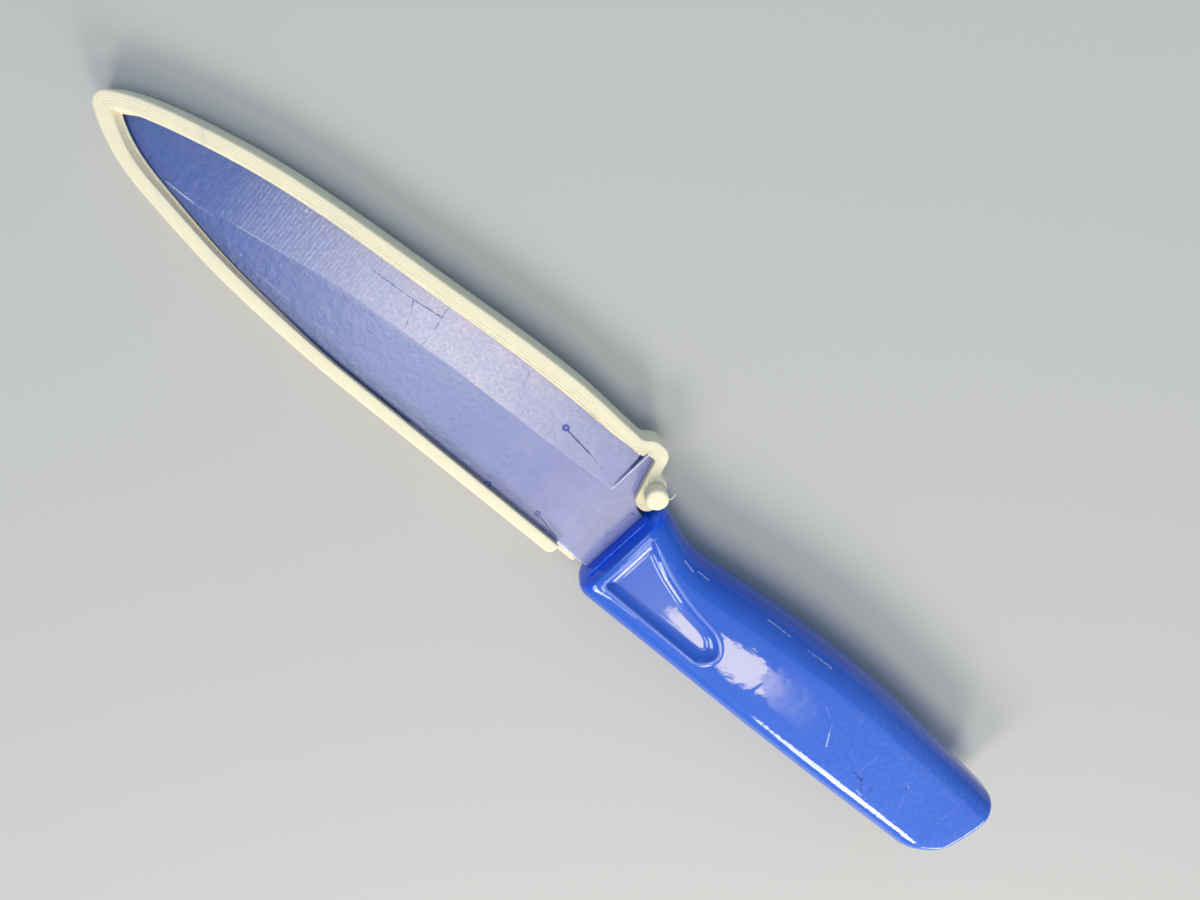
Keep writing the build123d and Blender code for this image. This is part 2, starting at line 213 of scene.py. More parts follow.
# The soft lamps: place and size in metres, and colour. All point at the object's middle.
LAMPS = [
    ("key", (0.18, -0.74, 0.62), (0.35, 0.35), (1.0, 0.965, 0.9)),
    ("top", (0.0, -0.15, 1.0), (0.4, 0.4), (1.0, 0.97, 0.95)),
    ("side", (0.62, -0.3, 0.72), (1.1, 1.1), (0.97, 0.97, 1.0)),
    ("rim", (0.675, -0.485, 0.45), (0.3, 0.26), (1.0, 0.96, 0.94)),
    ("end", (0.93, -0.2, 0.19), (0.15, 0.55), (1.0, 0.97, 0.95)),
    ("spot", (0.268, -0.146, 0.417), (0.092, 0.11), (1.0, 0.83, 0.32)),
    ("fill", (-0.45, 0.7, 0.55), (0.8, 0.8), (0.3, 0.62, 1.0)),
]

# The handle's front face leans back to its top: places behind the front, and drops there
FRONT_PLACES = (0.0, 0.14, 0.3, 0.44, 0.53, 0.6, 0.68, 0.78, 0.9, 1.05)
FRONT_DROPS = (2.3, 1.75, 1.12, 0.56, 0.24, 0.12, 0.06, 0.025, 0.01, 0.0)


def unit(vector):
    vector = np.asarray(vector, float)
    return vector / np.linalg.norm(vector, axis=-1, keepdims=True)


def run_along(path):
    """Length along a path at each of its points."""
    return np.concatenate([[0.0], np.cumsum(np.linalg.norm(np.diff(path, axis=0), axis=1))])


def smooth_curve(points, start, end, count):
    """Cubic curve through points, set to a start and an end direction.

    Its parameter is the chord length. The slopes solve the equations that make curvature
    continuous at each point, and each span is then a Hermite cubic.
    """
    points = np.asarray(points, float)
    knots = run_along(points)
    spans = np.linalg.norm(np.diff(points, axis=0), axis=1)
    rows = np.arange(1, len(points) - 1)
    system = np.eye(len(points))
    right = np.zeros_like(points)
    right[0], right[-1] = unit(start), unit(end)
    system[rows, rows - 1] = 1 / spans[:-1]
    system[rows, rows] = 2 / spans[:-1] + 2 / spans[1:]
    system[rows, rows + 1] = 1 / spans[1:]
    rise = np.diff(points, axis=0) / spans[:, None] ** 2
    right[rows] = 3 * (rise[:-1] + rise[1:])
    slopes = np.linalg.solve(system, right)
    places = np.linspace(0, knots[-1], count)
    span = np.clip(np.searchsorted(knots, places, side="right") - 1, 0, len(spans) - 1)
    length = spans[span][:, None]
    t = (places - knots[span])[:, None] / length
    return (
        (2 * t**3 - 3 * t**2 + 1) * points[span]
        + (t**3 - 2 * t**2 + t) * length * slopes[span]
        + (3 * t**2 - 2 * t**3) * points[span + 1]
        + (t**3 - t**2) * length * slopes[span + 1]
    )


def rounded_path(corners, count):
    """A path through corners (x, y, radius), each turned into an arc, in even steps."""
    corners = np.asarray(corners, float)
    pieces = [corners[:1, :2]]
    for before, corner, after in zip(corners[:-2], corners[1:-1], corners[2:]):
        back = unit(before[:2] - corner[:2])
        ahead = unit(after[:2] - corner[:2])
        half = np.arccos(np.clip(back @ ahead, -1, 1)) / 2
        reach = corner[2] / np.tan(half)
        middle = corner[:2] + unit(back + ahead) * corner[2] / np.sin(half)
        spoke_in = corner[:2] + back * reach - middle
        spoke_out = corner[:2] + ahead * reach - middle
        if corner[2] > 0:
            turn = pi - 2 * half
            swing = np.linspace(0, 1, 16)[:, None] * turn
            arc = (np.sin(turn - swing) * spoke_in + np.sin(swing) * spoke_out) / np.sin(turn)
            pieces.append(middle + arc)
        else:
            pieces.append(corner[None, :2])
    pieces.append(corners[-1:, :2])
    path = np.concatenate(pieces)
    run = run_along(path)
    places = np.linspace(0, run[-1], count)
    return np.stack([np.interp(places, run, side) for side in path.T], 1)


def set_off(curve, depth):
    """A curve moved off to its left by depth."""
    along = unit(np.gradient(curve, axis=0))
    return curve + np.stack([-along[:, 1], along[:, 0]], 1) * depth


def settle(points):
    """Points of the knife's plane, in millimetres, as points of the frame, in metres."""
    x, y, z = points[..., 0], points[..., 1], points[..., 2]
    turned = np.stack([x * cos(LEAN) - z * sin(LEAN), y, x * sin(LEAN) + z * cos(LEAN)], -1)
    return (turned + BLADE_POINT) * MM


def lay_mesh(name, grid, look, caps=True, run_map=None, crease=35):
    """A mesh over a grid of points: rows along the piece, columns round it and joined up.

    The first and last rows are filled when capped. Points that fall together are merged, so
    that poles and seams are shut, and the mesh is turned outwards by the sign of its volume.
    """
    rows, columns = grid.shape[:2]
    index = np.arange(rows * columns).reshape(rows, columns)
    index = np.concatenate([index, index[:, :1]], 1)
    corners = [index[:-1, :-1], index[:-1, 1:], index[1:, 1:], index[1:, :-1]]
    faces = np.stack(corners, -1).reshape(-1, 4).tolist()
    if caps:
        faces.append(index[0, :columns][::-1].tolist())
        faces.append(index[-1, :columns].tolist())
    mesh = bpy.data.meshes.new(name)
    mesh.from_pydata(settle(grid).reshape(-1, 3).tolist(), [], faces)
    if run_map is not None:
        layer = mesh.uv_layers.new(name="run")
        corner_vertices = np.zeros(len(mesh.loops), dtype=np.int32)
        mesh.loops.foreach_get("vertex_index", corner_vertices)
        layer.data.foreach_set("uv", run_map.reshape(-1, 2)[corner_vertices].ravel())
    work = bmesh.new()
    work.from_mesh(mesh)
    bmesh.ops.remove_doubles(work, verts=work.verts, dist=2e-7)
    bmesh.ops.dissolve_degenerate(work, edges=work.edges, dist=1e-7)
    if work.calc_volume(signed=True) < 0:
        bmesh.ops.reverse_faces(work, faces=work.faces)
    work.to_mesh(mesh)
    work.free()
    mesh.shade_smooth()
    mesh.set_sharp_from_angle(angle=radians(crease))
    mesh.materials.append(look)
    piece = bpy.data.objects.new(name, mesh)
    bpy.context.collection.objects.link(piece)
    return piece


class Nodes:
    """Short way to lay out one material's nodes."""

    def __init__(self, name):
        self.material = bpy.data.materials.new(name)
        self.material.use_nodes = True
        self.tree = self.material.node_tree
        self.shader = self.tree.nodes["Principled BSDF"]
        coordinates = self.tree.nodes.new("ShaderNodeTexCoord")
        self.place = coordinates.outputs["Object"]

    def add(self, kind, inputs=(), **settings):
        node = self.tree.nodes.new(kind)
        for key, value in settings.items():
            setattr(node, key, value)
        for key, value in dict(inputs).items():
            self.join(value, node.inputs[key])
        return node

    def join(self, value, socket):
        if isinstance(value, bpy.types.NodeSocket):
            self.tree.links.new(value, socket)
        else:
            socket.default_value = value

    def math(self, operation, first, second=0.0):
        node = self.add("ShaderNodeMath", operation=operation)
        self.join(first, node.inputs[0])
        self.join(second, node.inputs[1])
        return node.outputs[0]

    def vector(self, operation, first, second=(0, 0, 0), result="Vector"):
        node = self.add("ShaderNodeVectorMath", operation=operation)
        self.join(first, node.inputs[0])
        self.join(second, node.inputs[1])
        return node.outputs[result]

    def times(self, *values):
        """The product of the values."""
        return reduce(lambda first, second: self.math("MULTIPLY", first, second), values)

    def plus(self, *values):
        """The sum of the values."""
        return reduce(lambda first, second: self.math("ADD", first, second), values)

    def noise(self, scale, detail=3.0, roughness=0.55, stretch=None, place=None):
        source = place or self.place
        if stretch:
            source = self.vector("MULTIPLY", source, stretch)
        inputs = {"Vector": source, "Scale": scale, "Detail": detail, "Roughness": roughness}
        return self.add("ShaderNodeTexNoise", inputs).outputs["Fac"]

    def ways(self):
        """The ways that every look uses over and over."""
        return self.span, self.spread, self.fall, self.times, self.plus, self.mix, self.noise

    def span(self, value, low, high, to_low=0.0, to_high=1.0, smooth=False):
        """The value's place from low to high, as a number from to_low to to_high."""
        names = ("Value", "From Min", "From Max", "To Min", "To Max")
        inputs = zip(names, (value, low, high, to_low, to_high))
        kind = "SMOOTHSTEP" if smooth else "LINEAR"
        return self.add("ShaderNodeMapRange", inputs, interpolation_type=kind).outputs["Result"]

    def spread(self, noise, to_low=0.0, to_high=1.0):
        """A noise's usual spread as a number from to_low to to_high."""
        return self.span(noise, 0.3, 0.7, to_low, to_high)

    def fall(self, value, low, high, to_low=0.0, smooth=False):
        """One below low, falling to to_low at high."""
        return self.span(value, low, high, 1.0, to_low, smooth)

    def mix(self, share, first, second):
        node = self.add("ShaderNodeMix", data_type="RGBA")
        self.join(share, node.inputs[0])
        self.join(first, node.inputs[6])
        self.join(second, node.inputs[7])
        return node.outputs[2]

    def bump(self, height, strength, distance):
        inputs = {"Height": height, "Strength": strength, "Distance": distance}
        return self.add("ShaderNodeBump", inputs).outputs["Normal"]

    def run_map(self):
        """The map that a mesh was laid with, and its two parts."""
        run = self.add("ShaderNodeUVMap", uv_map="run").outputs["UV"]
        parts = self.add("ShaderNodeSeparateXYZ", {"Vector": run}).outputs
        return run, parts["X"], parts["Y"]

    def knife_place(self):
        """The shaded place in the knife's plane in millimetres, flat, and its x, y and height."""
        off = self.vector("SUBTRACT", self.place, tuple(BLADE_POINT * MM))
        axes = (cos(LEAN), 0, sin(LEAN)), (0, 1, 0), (-sin(LEAN), 0, cos(LEAN))
        x, y, height = (
            self.times(self.vector("DOT_PRODUCT", off, axis, "Value"), 1 / MM) for axis in axes
        )
        flat = self.add("ShaderNodeCombineXYZ", {"X": x, "Y": y}).outputs["Vector"]
        return flat, x, y, height

    def line_mark(self, flat, start, end, half_width, ragged):
        """One along a line from start to end in the plane, and zero away from it."""
        reach = np.subtract(end, start)
        length = float(np.hypot(*reach))
        along = (*(reach / length), 0.0)
        off = self.vector("SUBTRACT", flat, (*start, 0.0))
        run = self.vector("DOT_PRODUCT", off, along, "Value")
        run = self.math("MINIMUM", self.math("MAXIMUM", run, 0.0), length)
        foot = self.add("ShaderNodeVectorMath", operation="SCALE")
        self.join(along, foot.inputs[0])
        self.join(run, foot.inputs["Scale"])
        gap = self.vector("LENGTH", self.vector("SUBTRACT", off, foot.outputs[0]), result="Value")
        return self.fall(self.plus(gap, ragged), half_width * 0.4, half_width * 1.5, smooth=True)

    def ring_mark(self, flat, middle, radius, half_width, ragged):
        """One along a small ring in the plane, and zero away from it."""
        off = self.vector("SUBTRACT", flat, (*middle, 0.0))
        gap = self.math("SUBTRACT", self.vector("LENGTH", off, result="Value"), radius)
        gap = self.plus(self.math("ABSOLUTE", gap), ragged)
        return self.fall(gap, half_width * 0.3, half_width * 1.4, smooth=True)

    def wear_and_painted_light(self, colour, marks, flat, top, ragged, clean_from, pale, dark):
        """The colour with marks along lines, painted highlights and painted shade among them, and how far the
        dark ones have rubbed it away.

        Marks as pale as clean_from have clean edges, the darker and fainter ones torn ones.
        """
        lost = 0.0
        for start, end, half_width, paleness in marks:
            edge = ragged if paleness < clean_from else 0.0
            mark = self.times(self.line_mark(flat, start, end, half_width, edge), abs(paleness), top)
            colour = self.mix(mark, colour, pale if paleness > 0 else dark)
            if paleness < 0:
                lost = self.math("MAXIMUM", mark, lost)
        return colour, lost

    def finish(self, **inputs):
        for key, value in inputs.items():
            self.join(value, self.shader.inputs[key.replace("_", " ")])
        return self.material


class GuardSizes(bpy.types.PropertyGroup):
    height: bpy.props.FloatProperty(
        name="Height", description="Thickness of the guard, in mm", default=4.8, min=1,
    )
    outset: bpy.props.FloatProperty(
        name="Outset", description="Outer side beyond the blade, in mm", default=1.85, min=0.5,
    )
    slot_height: bpy.props.FloatProperty(
        name="Slot height", description="Height of the blade's slot, in mm", default=1.8,
    )
    rim: bpy.props.FloatProperty(
        name="Rim rounding", description="Rounding of the long rims, in mm", default=0.22,
    )
    root_place: bpy.props.FloatProperty(
        name="Root", description="Where the springy side starts, in mm", default=11.0,
    )
    root_before: bpy.props.FloatProperty(
        name="Bend before", description="Bend before the turning point, in mm", default=2.6,
    )
    root_after: bpy.props.FloatProperty(
        name="Bend after", description="Bend past the turning point, in mm", default=5.2,
    )
    line_width: bpy.props.FloatProperty(
        name="Line width", description="Width of one printed line, in mm", default=0.42,
    )
    colour: bpy.props.FloatVectorProperty(
        name="Colour", description="Warm white of the printed plastic", subtype="COLOR", size=4,
        default=(0.88, 0.80, 0.605, 1),
    )


class KnifeSizes(bpy.types.PropertyGroup):
    blade_length: bpy.props.FloatProperty(
        name="Blade length", description="Point to handle, in mm", default=99.2,
    )
    spine_drop: bpy.props.FloatProperty(
        name="Spine drop", description="Point down to the spine, in mm", default=8.8,
    )
    edge_rise: bpy.props.FloatProperty(
        name="Edge rise", description="Point up to the edge, in mm", default=13.1,
    )
    thickness: bpy.props.FloatProperty(
        name="Blade thickness", description="Thickness at the spine, in mm", default=1.4,
    )
    grind_width: bpy.props.FloatProperty(
        name="Grind width", description="Width of the ground band, in mm", default=8.7,
    )
    handle_length: bpy.props.FloatProperty(
        name="Handle length", description="Length of the handle, in mm", default=95.6,
    )
    handle_thickness: bpy.props.FloatProperty(
        name="Handle thickness", description="Fullest thickness, in mm", default=13.88,
    )
    handle_low: bpy.props.FloatProperty(
        name="Handle low side", description="Height of its low side, in mm", default=-12.6,
    )
    low_rise: bpy.props.FloatProperty(
        name="Low rise", description="Rise of the low side to the butt", default=0.75,
    )
    handle_swell: bpy.props.FloatProperty(
        name="Handle swell", description="Fullest height, in mm", default=21.7,
    )
    coating: bpy.props.FloatVectorProperty(
        name="Coating", description="Blue of the blade's coating", subtype="COLOR", size=4,
        default=(0.006, 0.067, 0.34, 1),
    )
    moulding: bpy.props.FloatVectorProperty(
        name="Moulding", description="Blue of the handle", subtype="COLOR", size=4,
        default=(0.026, 0.114, 0.62, 1),
    )


class StageSizes(bpy.types.PropertyGroup):
    floor_width: bpy.props.FloatProperty(
        name="Floor width", description="Width of the floor", default=4.0, unit="LENGTH",
    )
    floor_colour: bpy.props.FloatVectorProperty(
        name="Floor colour", description="Pale floor", subtype="COLOR", size=4, default=(0.5, 0.5, 0.495, 1),
    )
    key_power: bpy.props.FloatProperty(name="Key power", description="Power of the main lamp", default=3.4)
    spot_power: bpy.props.FloatProperty(name="Spot power", description="Power of the small lamp", default=0.4)
    top_power: bpy.props.FloatProperty(name="Top power", description="Power of the lamp above", default=2.4)
    side_power: bpy.props.FloatProperty(name="Side power", description="Power of the wide lamp", default=1.7)
    rim_power: bpy.props.FloatProperty(
        name="Rim power", description="Power of the low side's lamp", default=2.8,
    )
    end_power: bpy.props.FloatProperty(
        name="End power", description="Power of the lamp past the butt", default=1.8,
    )
    fill_power: bpy.props.FloatProperty(
        name="Fill power", description="Power of the cool lamp behind", default=1.9,
    )
    sky: bpy.props.FloatProperty(name="Sky", description="Strength of the even light around", default=0.345)


def edge_reach(knife):
    """How far from the point the cutting edge turns straight."""
    return knife.blade_length - HEEL_BACK - EDGE_STRAIGHT


def long_curve(knife, edge_side, nose=0, insets=(0, 0), count=CURVE_POINTS):
    """The blade's cutting edge or spine from its point, as a curve through its shares.

    A lip's rim starts further back, at nose, and is drawn in from the blade by an inset that
    goes evenly from the first to the second of insets.
    """
    if edge_side:
        reach, rise, shares, start = edge_reach(knife), knife.edge_rise, EDGE_SHARES, EDGE_START
    else:
        reach, rise, shares, start = SPINE_REACH, -knife.spine_drop, SPINE_SHARES, SPINE_START
    points = [(nose, 0)]
    for along, up in shares + [(1.0, 1.0)]:
        inset = insets[0] + (insets[1] - insets[0]) * along
        points.append((along * reach, up * rise - (inset if edge_side else -inset)))
    return smooth_curve(points, start, (1, 0), count)


def guard_lines(guard, knife):
    """Four lines in plan along the whole guard, from the spine rail's end to the pad.

    They are its outer side, the lips' inner rim on top, the lips' inner rim beside the blade
    and the slot's wall, each with as many points as the others.
    """
    edge, spine = long_curve(knife, True), long_curve(knife, False)
    spine_y, edge_y = -knife.spine_drop, knife.edge_rise
    rim_nose, lip_nose = NOSE_LIPS
    rim_over, lip_over = SPINE_LIPS
    # The spine rail's rounded end and its straight part
    levels = spine_y - guard.outset, spine_y + rim_over, spine_y + lip_over, spine_y - SLOT_GAP
    end = knife.blade_length - 7.0
    before_end = end - 1.25
    corners = [(end, levels[1] - 0.4, 0), (end, levels[0], 1.2), (before_end, levels[0], 0)]
    pieces = [[rounded_path(corners, 18)]]
    pieces[0] += [np.linspace((end, y), (before_end, y), 18) for y in levels[1:]]
    pieces.append([np.linspace((before_end, y), (SPINE_REACH, y), 70) for y in levels])
    # Its curved part to the nose, the nose, and the edge rail's curve
    pieces.append([line[::-1] for line in (
        set_off(spine, -guard.outset),
        long_curve(knife, False, rim_nose, (rim_over, rim_over)),
        long_curve(knife, False, lip_nose, (1.3, lip_over)),
        set_off(spine, -SLOT_GAP),
    )])
    first = pieces[-1][0][-1]
    last = set_off(edge, guard.outset)[0]
    swing = np.linspace(atan2(first[1], first[0]) % (2 * pi), atan2(last[1], last[0]), 24)[1:-1]
    ring = np.stack([np.cos(swing), np.sin(swing)], 1)
    still = np.zeros_like(ring)
    rims = still + (rim_nose, 0), still + (lip_nose, 0)
    pieces.append([ring * guard.outset, *rims, ring * SLOT_GAP])
    rim_over, lip_over = EDGE_LIPS
    lip_end = 1.3
    pieces.append([
        set_off(edge, guard.outset),
        long_curve(knife, True, rim_nose, (0.5, rim_over)),
        long_curve(knife, True, lip_nose, (0.45, lip_end)),
        set_off(edge, SLOT_GAP),
    ])
    # The edge rail's straight part, then the hook down to its pad
    start = knife.blade_length - HOOK_BACK
    outer_y, wall_y = edge_y + guard.outset, edge_y + SLOT_GAP
    rim_y, lip_y = edge_y - rim_over, edge_y - lip_over
    levels = outer_y, rim_y, lip_y, wall_y
    run = [np.linspace((edge_reach(knife), y), (start, y), 12) for y in levels]
    run[2][:, 1] = np.linspace(edge_y - lip_end, lip_y, 12)
    pieces.append(run)
    hook_top = outer_y + HOOK_RISE
    bottom = hook_top - HOOK_HEIGHT
    outer = [(start, outer_y, 0)]
    for along, down, turn in HOOK_SHARES:
        outer.append((start + along * HOOK_LENGTH, hook_top - down * HOOK_HEIGHT, turn * HOOK_LENGTH))
    finish = (start + 0.845 * HOOK_LENGTH, bottom, 0)
    heel = knife.blade_length - HEEL_BACK
    rim, lip = [[
        (start, level, 0),
        (start + 2.8, level, 0.05),
        (start + 2.8, wall_y, 0.12),
        (heel - 0.45, wall_y, 0.3),
        (start + 0.69 * HOOK_LENGTH, bottom, 1.8),
        finish,
    ] for level in (rim_y, lip_y)]
    wall = [
        (start, wall_y, 0),
        (heel + 0.25, wall_y, 0.3),
        (heel + 2.75, 7.0, 0.5),
        (heel + 3.45, bottom, 0.2),
        finish,
    ]
    pieces.append([rounded_path(corners, HOOK_POINTS) for corners in (outer + [finish], rim, lip, wall)])
    # The pieces meet end to end, so each after the first leaves out its first point.
    lines = [
        np.concatenate([piece[line][order > 0:] for order, piece in enumerate(pieces)])
        for line in range(4)
    ]
    # The edge side's wall thins a little before it swells into the hook.
    x, y = lines[0].T
    thinning = np.interp(x, [76.0, 84.0, 89.6, 91.2], [0.0, 0.32, 0.42, 0.0])
    lines[0] = np.stack([x, np.where(y > edge_y, y - thinning, y)], 1)
    return lines


def guard_surface(guard, knife):
    """The guard as one ribbon: a section carried from the spine rail's end to the pad.

    Each section is a closed loop: outer wall, rounded rim, flat top, rounded inner rim, the
    lip's leaning face, the slot's roof, wall and floor, and the same mirrored below.
    """
    outer, rim, lip, wall = guard_lines(guard, knife)
    half, slot = guard.height / 2, guard.slot_height / 2
    across = rim - outer
    width = np.linalg.norm(across, axis=1, keepdims=True)
    across = across / np.maximum(width, 1e-6)
    turn = np.minimum(guard.rim, 0.45 * width)
    turn_height = turn[:, 0]
    level = 0 * turn_height
    arc = np.radians([18, 36, 54, 72, 90])

    def quarter(line, inward, angles):
        """The rounding of a long rim, as places in plan and heights."""
        return [
            (line + inward * turn * (1 - cos(angle)), half - turn_height * (1 - sin(angle)))
            for angle in angles
        ]

    face = quarter(outer, across, arc)
    face += [
        (outer + across * (turn + (width - 2 * turn) * share), half + level) for share in (0.33, 0.67)
    ]
    face += quarter(rim, -across, arc[::-1]) + [(rim, half - turn_height)]
    # The leaning face ends in a small land above the slot.
    land = np.clip(((lip - rim) * across).sum(1, keepdims=True) * 0.4, 0, 0.3)
    foot = lip - across * land
    leaning = [
        (rim + (foot - rim) * share, (half - turn_height) * (1 - share) + (slot + 0.3) * share)
        for share in (0.33, 0.67)
    ]
    mouth = [(foot, slot + 0.3), (lip, slot + 0.26), (lip, slot), (wall, slot)]
    mouth = [(place, height + level) for place, height in mouth]
    loop = [(outer, share * (half - turn_height)) for share in np.linspace(-1, 1, 7)]
    loop += face + leaning + mouth + [(place, -height) for place, height in (face + mouth)[::-1]]
    grid = np.stack([np.concatenate([place, height[:, None]], 1) for place, height in loop], 1)
    along = run_along((outer + rim) / 2)
    steps = np.linalg.norm(np.diff(grid, axis=1), axis=2)
    around = np.concatenate([np.zeros((len(grid), 1)), np.cumsum(steps, 1)], 1)
    run_map = np.stack([np.broadcast_to(along[:, None], around.shape), around], -1)
    past_nose = np.arange(len(outer)) > np.argmin(outer[:, 0])
    root = int(np.argmax(past_nose & (outer[:, 0] > guard.root_place)))
    return grid, run_map, root


def slab_surface(outline, low, high, rim):
    """A closed slab over an outline in plan, its long rims rounded by a quarter circle."""
    middle = outline.mean(axis=0)
    inward = -set_off(np.concatenate([outline[-1:], outline, outline[:1]]), 1.0)[1:-1] + outline
    if np.sum(inward * (middle - outline)) < 0:
        inward = -inward
    arc = np.radians([0, 22.5, 45, 67.5, 90])
    upper = [(outline + inward * rim * (1 - cos(angle)), rim * (1 - sin(angle))) for angle in arc]
    rows = [(place, low + drop) for place, drop in upper[::-1]]
    rows += [(place, high - drop) for place, drop in upper]
    return np.stack([np.insert(place, 2, height, axis=1) for place, height in rows])


def brighter(colour, *shares):
    """A colour with its red, green and blue multiplied by shares."""
    return tuple(np.array(colour) * (*shares, 1))


def finish_plastic(nodes, colour, rough, height, strength):
    """The guard's plastic: a soft surface that light goes a little way into."""
    return nodes.finish(
        Base_Color=colour, Roughness=rough, Normal=nodes.bump(height, strength, 0.00003), IOR=1.46,
        Subsurface_Weight=0.3, Subsurface_Radius=(1.0, 0.8, 0.45), Subsurface_Scale=0.0012,
    )


def printed_plastic(guard):
    """Warm white printed plastic: fine lines along the run, soft sheen and small unevenness."""
    nodes = Nodes("guard_plastic_look")
    span, spread, fall, times, plus, mix, noise = nodes.ways()
    run, along, around = nodes.run_map()
    waver = noise(1.0, 3.0, 0.5, stretch=(0.35, 3.0, 1.0), place=run)
    phase = times(plus(around, times(waver, 0.12)), 2 * pi / guard.line_width)
    lines = nodes.math("SINE", phase)
    # Seams between printed lines are thin and dark, and show most on the leaning lips.
    seam = times(
        nodes.math("POWER", times(plus(lines, 1.0), 0.5), 4.0),
        span(around, 5.6, 6.9, 0.3, 1.0, smooth=True),
        span(along, 108.0, 132.0, 0.35, 1.0),
        span(waver, 0.3, 0.62, 0.3, 1.0),
    )
    mottle = noise(420, 4)
    fine = noise(5200, 3)
    light = brighter(guard.colour, 1.05, 1.04, 1.0)
    warm = mix(spread(mottle), tuple(guard.colour), light)
    colour = mix(span(waver, 0.35, 0.75, 0.0, 0.35), warm, (0.80, 0.75, 0.61, 1))
    # The lips' inner faces are painted warmer, a painted warm shade, except round the nose.
    painted_warm_shade = mix(span(along, 92.0, 104.0), (1.0, 0.74, 0.44, 1), (0.96, 0.84, 0.56, 1))
    from_nose = nodes.math("ABSOLUTE", nodes.math("SUBTRACT", along, 96.0))
    lip = times(span(around, 6.9, 7.5), fall(around, 8.3, 9.0), span(from_nose, 5.0, 18.0), 0.75)
    colour = mix(lip, colour, painted_warm_shade)
    colour = mix(seam, colour, (0.32, 0.27, 0.17, 1))
    height = plus(times(lines, -0.7), times(fine, 0.6))
    return finish_plastic(nodes, colour, spread(mottle, 0.42, 0.56), height, 0.45)


def ledge_plastic(guard):
    """The same plastic where no run is mapped: fine lines along the object's length."""
    nodes = Nodes("guard_plastic_small")
    fine = nodes.noise(5200, 3)
    lines = nodes.noise(2600, 2, stretch=(0.08, 1.0, 1.0))
    light = brighter(guard.colour, 1.05, 1.04, 1.0)
    colour = nodes.mix(nodes.spread(nodes.noise(420, 4)), tuple(guard.colour), light)
    height = nodes.plus(nodes.times(lines, 0.7), nodes.times(fine, 0.4))
    return finish_plastic(nodes, colour, 0.48, height, 0.35)


class MESH_OT_blade_guard(bpy.types.Operator):
    """Builds the guard's two rails, nose and heel hook from one ribbon, cut in two where the springy side
    starts
    """

    bl_idname = "mesh.blade_guard"
    bl_label = "Guard rails and hook"

    def execute(self, context):
        guard, knife = context.scene.blade_guard, context.scene.guarded_knife
        grid, run_map, root = guard_surface(guard, knife)
        look = printed_plastic(guard)
        fixed = lay_mesh("guard_spine_channel", grid[:root + 1], look, run_map=run_map[:root + 1])
        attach(fixed, "guard_frame")
        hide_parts("spine_rail")
        springy = lay_mesh("guard_edge_channel", grid[root:], look, run_map=run_map[root:])
        along = np.append(unit(grid[root + 3, 0, :2] - grid[root - 3, 0, :2]), 0.0)
        pivot = np.array(JOINTS["arm_flex"]["pos_m"])
        start, end = pivot - along * guard.root_before * MM, pivot + along * guard.root_after * MM
        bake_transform(springy)
        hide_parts("edge_rail", "heel_hook")
        # The lower half of the channel runs on as a small ledge under the spine.
        start, end = knife.blade_length - 8.6, knife.blade_length - 1.8
        outer, inner = -knife.spine_drop - 1.4, -knife.spine_drop + 0.33
        outline = rounded_path([
            (start, outer + 0.5, 0),
            (start, inner, 0.05),
            (end, inner, 0.25),
            (end, outer, 0.6),
            (start, outer, 0.05),
            (start, outer + 0.5, 0),
        ], 160)[:-1]
        slab = slab_surface(outline, -guard.height / 2 + 0.01, -guard.slot_height / 2 - 0.01, 0.12)
        ledge = lay_mesh("guard_ledge", slab, ledge_plastic(guard))
        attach(ledge, "guard_frame")
        return {"FINISHED"}


class MESH_OT_release_post(bpy.types.Operator):
    """Builds the short round post that a finger pushes to free the heel"""

    bl_idname = "mesh.release_post"
    bl_label = "Release post"

    def execute(self, context):
        guard, knife = context.scene.blade_guard, context.scene.guarded_knife
        # The post stands 2 mm in from the pad's end and 3.65 mm above its bottom.
        hook_end = knife.blade_length - HOOK_BACK + HOOK_LENGTH
        hook_bottom = knife.edge_rise + guard.outset + HOOK_RISE - HOOK_HEIGHT
        middle = np.array([hook_end - 2.0, hook_bottom + 3.65])
        base, height, radius, dome = guard.height / 2, 2.6, 1.9, 0.5
        # Radius against height: a wall that narrows and swells a little, then a rounded top.
        shaft = radius - 0.02
        arc = np.radians(np.linspace(0, 90, 9))
        profile = [(shaft, -0.3), (shaft, 0.0)]
        profile += [(shaft - 0.02 * sin(3.1 * step), 0.2 * step) for step in np.linspace(0.2, 10.6, 24)]
        profile += [
            (radius - dome * (1 - cos(angle)), height - dome * (1 - sin(angle))) for angle in arc
        ]
        profile += [(0.6, height - 0.01), (0.0, height - 0.02)]
        profile = np.array(profile)
        profile[:, 1] = np.minimum(profile[:, 1], height)
        turn = np.linspace(0, 2 * pi, 72, endpoint=False)
        lumps = 1 + 0.012 * np.sin(3 * turn + 0.6) + 0.008 * np.sin(7 * turn)
        ring = profile[:, None, 0] * lumps
        grid = np.stack([
            middle[0] + ring * np.cos(turn),
            middle[1] + ring * np.sin(turn),
            base + np.broadcast_to(profile[:, None, 1], ring.shape),
        ], -1)
        look = ledge_plastic(guard)
        post = lay_mesh("release_post_skin", grid, look, caps=False)
        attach(post, "edge_arm")
        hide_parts("release_post")
        # A wisp of plastic that the printer left at the post's top.
        run = np.linspace(0, 1, 24)[:, None]
        centre = middle + (1.3, 1.28) + run * (0.34, 1.5) + np.sin(run * 5) * (0.1, 0.0)
        thick = 0.13 * (1 - 0.6 * run)
        around = np.linspace(0, 2 * pi, 12, endpoint=False)
        strand = np.stack([
            centre[:, :1] + thick * np.cos(around),
            np.broadcast_to(centre[:, 1:], (24, 12)),
            base + height - 0.25 - 0.1 * run + thick * np.sin(around),
        ], -1)
        wisp = lay_mesh("post_wisp", strand, look)
        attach(wisp, "edge_arm")
        return {"FINISHED"}


